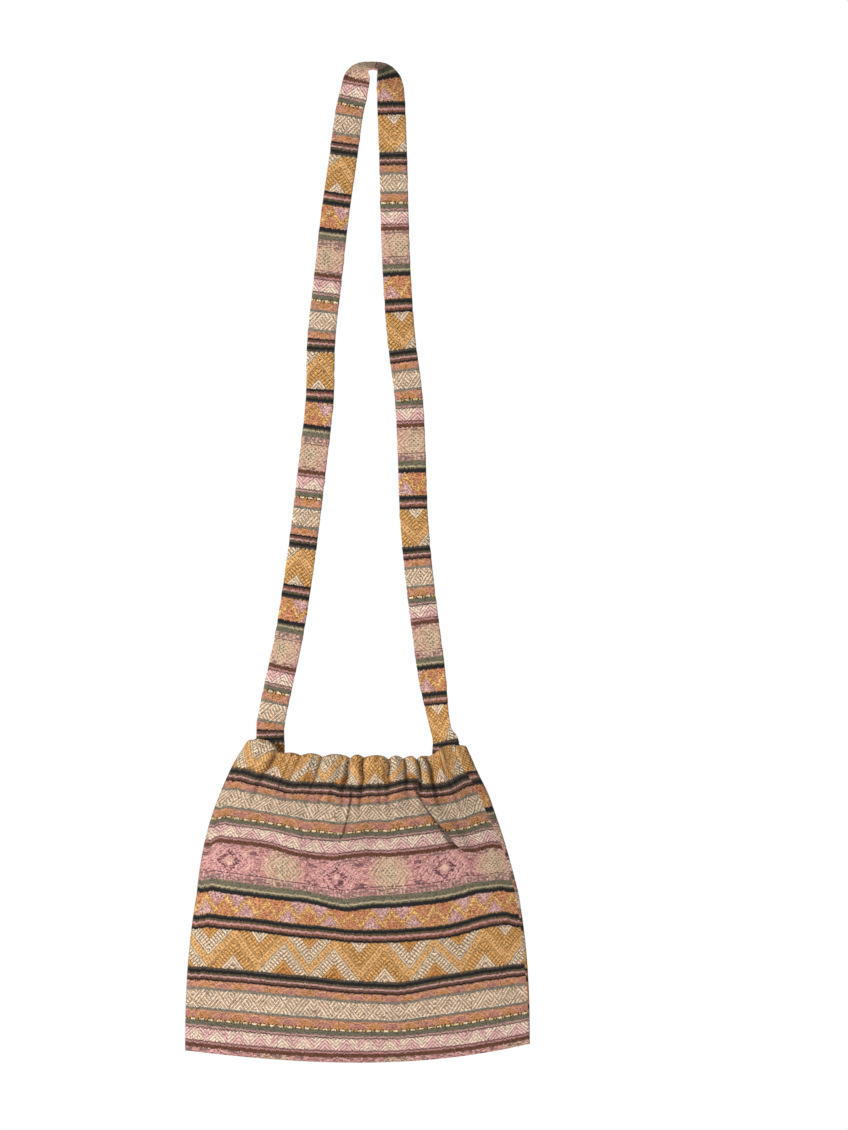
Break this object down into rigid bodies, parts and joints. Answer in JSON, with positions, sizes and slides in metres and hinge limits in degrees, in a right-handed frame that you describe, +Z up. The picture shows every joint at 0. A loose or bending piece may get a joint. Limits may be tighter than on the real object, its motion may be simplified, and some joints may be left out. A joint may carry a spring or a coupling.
{
  "type": "gathered cloth shoulder bag",
  "caption": "Flat shoulder bag of traditional striped woven cloth, with an elastic gathered mouth and a long flat strap of the same cloth, hanging from the strap.",
  "frame": {"origin": "the point under the strap's highest place where a hook or a shoulder holds the bag", "axes": "+Z up as the bag hangs, +X to the right seen from the front, the front faces -Y"},
  "size_m": [0.3, 0.0394, 0.8707],
  "materials": {
    "striped_cloth": "matte jacquard weave in gold, cream, pink, brown and black stripes",
    "striped_strap": "matte jacquard weave, the same stripes across the strap",
    "elastic": "matte knitted band",
    "thread": "matte sewing thread"
  },
  "bodies": {
    "root": {"bag_body": "striped_cloth", "mouth_elastic": "elastic", "shoulder_strap": "striped_strap", "casing_stitch_thread": "thread", "side_seam_thread_left": "thread", "side_seam_thread_right": "thread", "strap_tack_left": "thread", "strap_tack_right": "thread", "elastic_join_thread": "thread"}
  },
  "joints": []
}
